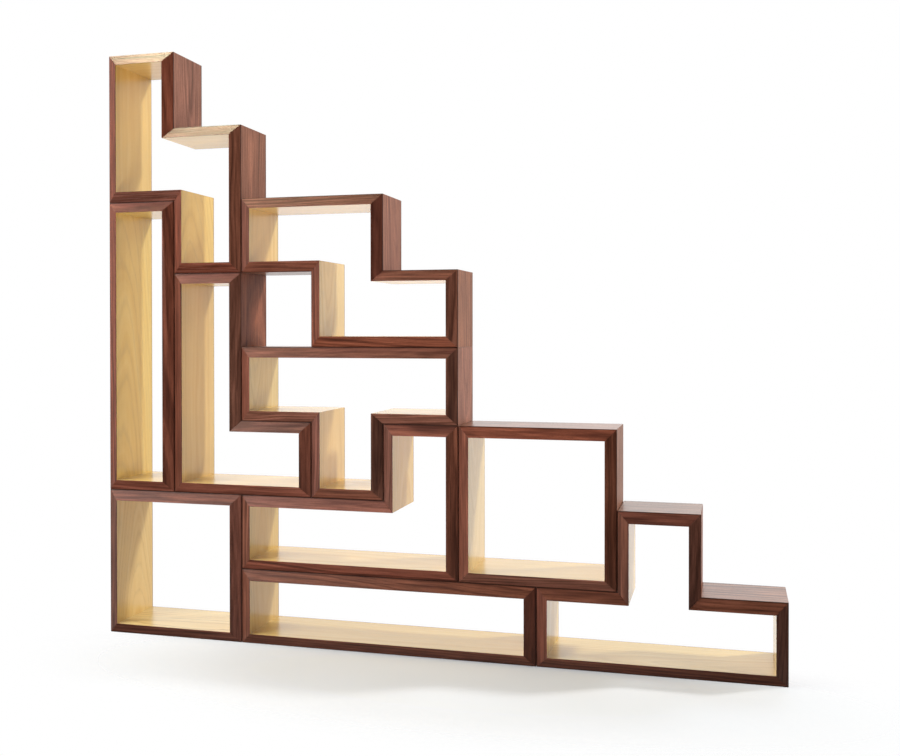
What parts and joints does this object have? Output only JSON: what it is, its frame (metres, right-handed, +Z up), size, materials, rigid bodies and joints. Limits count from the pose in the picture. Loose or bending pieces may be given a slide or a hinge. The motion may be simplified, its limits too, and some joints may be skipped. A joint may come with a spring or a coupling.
{
  "type": "modular shelving unit",
  "caption": "Stepped, open-backed shelving unit of loose stacked box frames in squares, bars, ells, tees and zigzags, walnut outside with bevelled mitred edges, pale maple inside.",
  "frame": {"origin": "on the floor, below the middle of the unit's width and depth", "axes": "+Z up, +X to the right along the unit's length as seen from the front, front towards -Y"},
  "size_m": [2.41, 0.28, 2.157],
  "materials": {
    "walnut": "oiled walnut face",
    "walnut_edge": "oiled walnut lipping, grain along the strip",
    "maple": "clear satin maple lining",
    "spline_wood": "bare birch"
  },
  "bodies": {
    "base": {"left_square_uprights": "walnut", "left_square_shelves": "walnut", "left_square_lining": "maple", "left_square_upright_lippings": "walnut_edge", "left_square_shelf_lippings": "walnut_edge", "left_square_corner_splines": "spline_wood", "long_bar_uprights": "walnut", "long_bar_shelves": "walnut", "long_bar_lining": "maple", "long_bar_upright_lippings": "walnut_edge", "long_bar_shelf_lippings": "walnut_edge", "long_bar_corner_splines": "spline_wood", "floor_tee_uprights": "walnut", "floor_tee_shelves": "walnut", "floor_tee_lining": "maple", "floor_tee_upright_lippings": "walnut_edge", "floor_tee_shelf_lippings": "walnut_edge", "floor_tee_corner_splines": "spline_wood", "tall_bar_uprights": "walnut", "tall_bar_shelves": "walnut", "tall_bar_lining": "maple", "tall_bar_upright_lippings": "walnut_edge", "tall_bar_shelf_lippings": "walnut_edge", "tall_bar_corner_splines": "spline_wood"},
    "flat_ell": {"flat_ell_uprights": "walnut", "flat_ell_shelves": "walnut", "flat_ell_lining": "maple", "flat_ell_upright_lippings": "walnut_edge", "flat_ell_shelf_lippings": "walnut_edge", "flat_ell_corner_splines": "spline_wood"},
    "tall_ell": {"tall_ell_uprights": "walnut", "tall_ell_shelves": "walnut", "tall_ell_lining": "maple", "tall_ell_upright_lippings": "walnut_edge", "tall_ell_shelf_lippings": "walnut_edge", "tall_ell_corner_splines": "spline_wood"},
    "hanging_tee": {"hanging_tee_uprights": "walnut", "hanging_tee_shelves": "walnut", "hanging_tee_lining": "maple", "hanging_tee_upright_lippings": "walnut_edge", "hanging_tee_shelf_lippings": "walnut_edge", "hanging_tee_corner_splines": "spline_wood"},
    "flat_zigzag": {"flat_zigzag_uprights": "walnut", "flat_zigzag_shelves": "walnut", "flat_zigzag_lining": "maple", "flat_zigzag_upright_lippings": "walnut_edge", "flat_zigzag_shelf_lippings": "walnut_edge", "flat_zigzag_corner_splines": "spline_wood"},
    "tall_zigzag": {"tall_zigzag_uprights": "walnut", "tall_zigzag_shelves": "walnut", "tall_zigzag_lining": "maple", "tall_zigzag_upright_lippings": "walnut_edge", "tall_zigzag_shelf_lippings": "walnut_edge", "tall_zigzag_corner_splines": "spline_wood"},
    "right_square": {"right_square_uprights": "walnut", "right_square_shelves": "walnut", "right_square_lining": "maple", "right_square_upright_lippings": "walnut_edge", "right_square_shelf_lippings": "walnut_edge", "right_square_corner_splines": "spline_wood"}
  },
  "joints": [
    {"name": "flat_ell_lift", "type": "slide", "parent": "base", "child": "flat_ell", "axis": [0, 0, 1], "range_m": [0, 0.29]},
    {"name": "tall_ell_lift", "type": "slide", "parent": "flat_ell", "child": "tall_ell", "axis": [0, 0, 1], "range_m": [0, 0.29]},
    {"name": "hanging_tee_lift", "type": "slide", "parent": "tall_ell", "child": "hanging_tee", "axis": [0, 0, 1], "range_m": [0, 0.29]},
    {"name": "flat_zigzag_lift", "type": "slide", "parent": "hanging_tee", "child": "flat_zigzag", "axis": [0, 0, 1], "range_m": [0, 0.29]},
    {"name": "tall_zigzag_lift", "type": "slide", "parent": "tall_ell", "child": "tall_zigzag", "axis": [0, 0, 1], "range_m": [0, 0.29]},
    {"name": "right_square_lift", "type": "slide", "parent": "base", "child": "right_square", "axis": [0, 0, 1], "range_m": [0, 0.29]}
  ]
}
